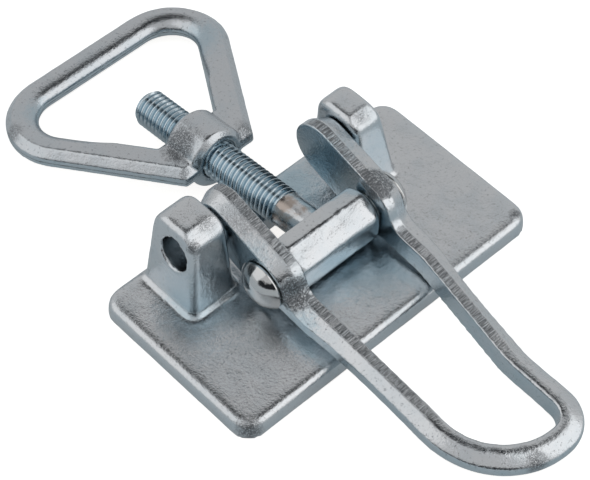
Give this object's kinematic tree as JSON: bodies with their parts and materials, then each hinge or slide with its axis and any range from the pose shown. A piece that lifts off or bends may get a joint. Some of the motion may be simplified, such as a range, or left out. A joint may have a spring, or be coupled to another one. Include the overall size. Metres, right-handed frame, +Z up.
{
  "type": "weld-on over-centre latch",
  "caption": "Forged over-centre latch: a weld-on base with ears carries a bail lever, whose T-headed screw pulls and adjusts a triangular draw link.",
  "frame": {"origin": "middle of the base plate's flat underside, the face that is welded down", "axes": "+Z up out of the plate, +X along the lever's pivot, +Y towards the draw link"},
  "size_m": [0.115, 0.2066, 0.0344],
  "materials": {
    "base_zinc": "bright zinc plate over a forged, finely pitted skin",
    "lever_zinc": "bright zinc plate over a forged and sheared bar",
    "rivet_zinc": "bright zinc plate, smooth and shiny",
    "screw_zinc": "bright zinc plate over a forged head and a rolled thread",
    "link_zinc": "bright zinc plate over a forged ring"
  },
  "bodies": {
    "base": {"base_plate": "base_zinc"},
    "lever": {"lever": "lever_zinc"},
    "rivet": {"barrel_rivet": "rivet_zinc"},
    "screw": {"t_bolt": "screw_zinc"},
    "link": {"tension_link": "link_zinc"}
  },
  "joints": [
    {"name": "lever_pivot", "type": "hinge", "parent": "base", "child": "lever", "pos_m": [0, 0.0181, 0.0243], "axis": [-1, 0, 0], "range_deg": [0, 135]},
    {"name": "rivet_turn", "type": "hinge", "parent": "lever", "child": "rivet", "pos_m": [0, -0.0025, 0.0166], "axis": [-1, 0, 0], "range_deg": [-135, 0]},
    {"name": "screw_swing", "type": "hinge", "parent": "rivet", "child": "screw", "pos_m": [0, -0.0025, 0.0166], "axis": [1, 0, 0], "range_deg": [0, 20]},
    {"name": "link_turn", "type": "hinge", "parent": "screw", "child": "link", "pos_m": [0, 0.04322, 0.0115], "axis": [0, 0.9938, -0.1109], "continuous": true}
  ],
  "couplings": [
    {"joint": "rivet_turn", "follows": "lever_pivot", "ratio": -1}
  ]
}
